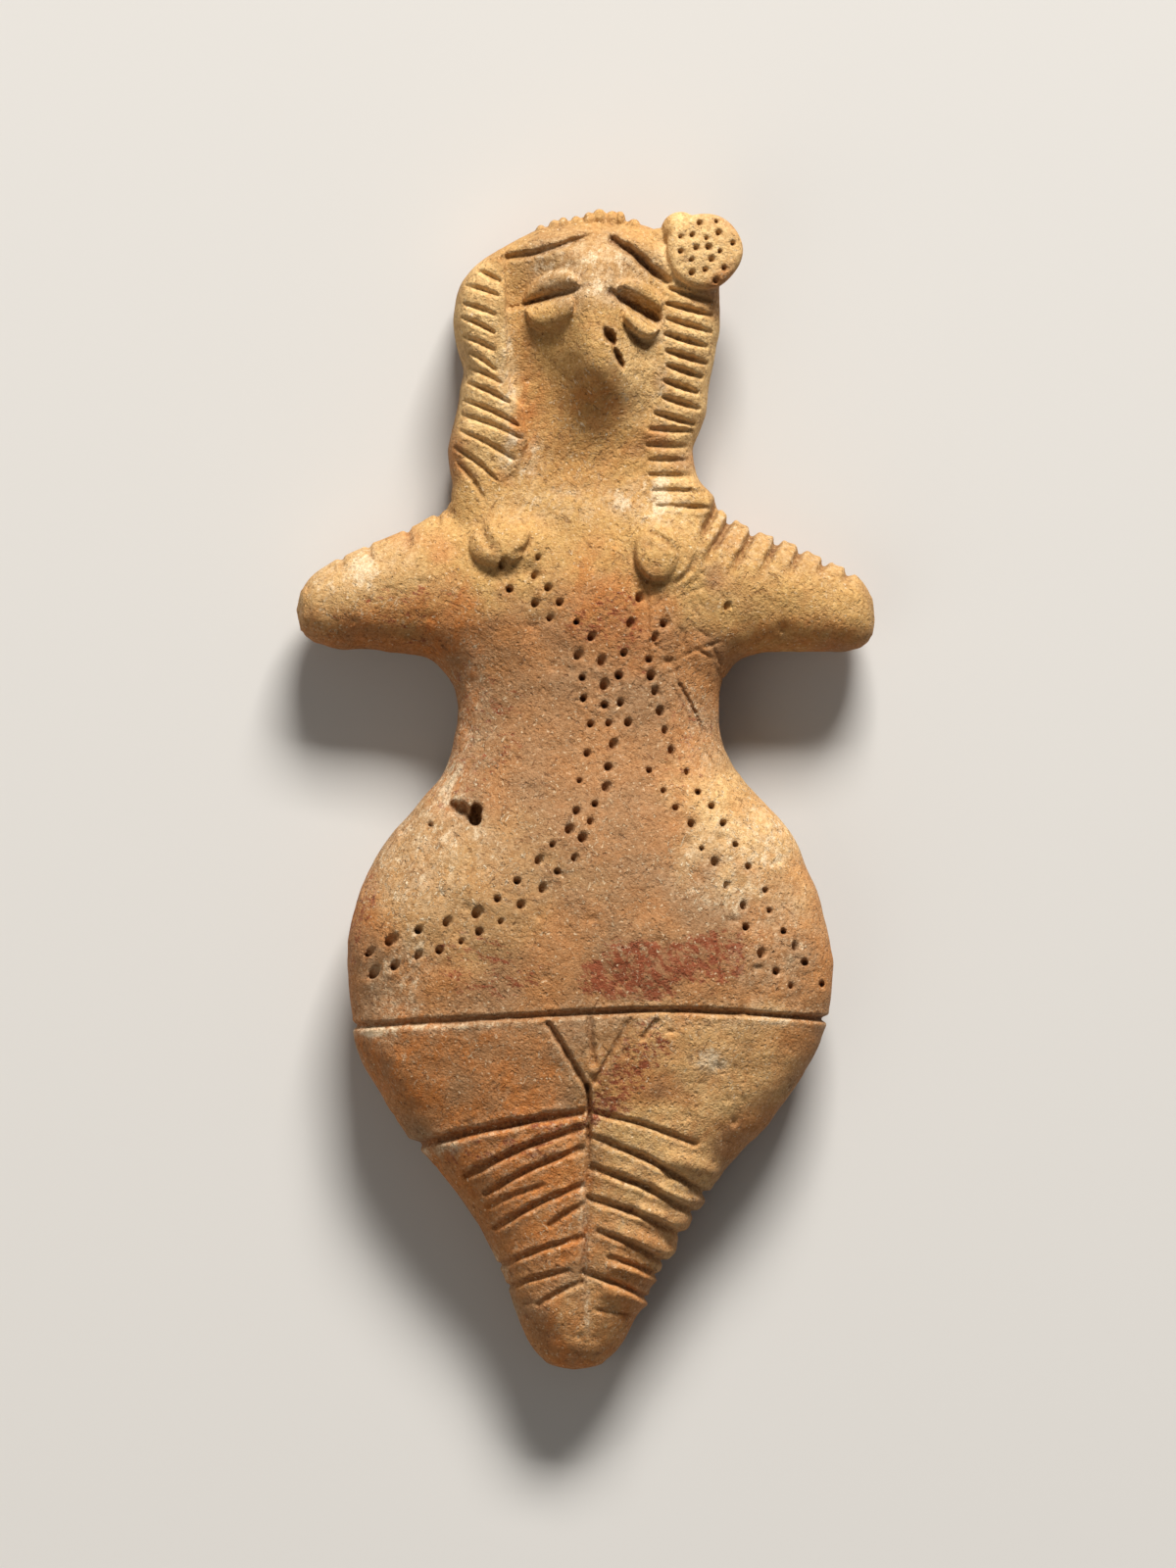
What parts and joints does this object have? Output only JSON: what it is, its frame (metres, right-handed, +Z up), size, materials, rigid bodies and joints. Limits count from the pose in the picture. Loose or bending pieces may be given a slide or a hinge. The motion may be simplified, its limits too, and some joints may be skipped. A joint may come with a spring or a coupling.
{
  "type": "terracotta figurine",
  "caption": "Hand-modelled fired-clay female figurine lying on its flat back, with beak nose, grooved hair, stub arms, broad hips with pricked bands and legs tapering to one foot",
  "frame": {"origin": "middle of the bounding box in plan, at the flat back the figurine lies on", "axes": "X across the figure to the right as seen from above, Y along it towards the head, Z up through the front"},
  "size_m": [0.0722, 0.145, 0.0195],
  "materials": {
    "terracotta": "matt unglazed"
  },
  "bodies": {
    "root": {"figurine": "terracotta"}
  },
  "joints": []
}
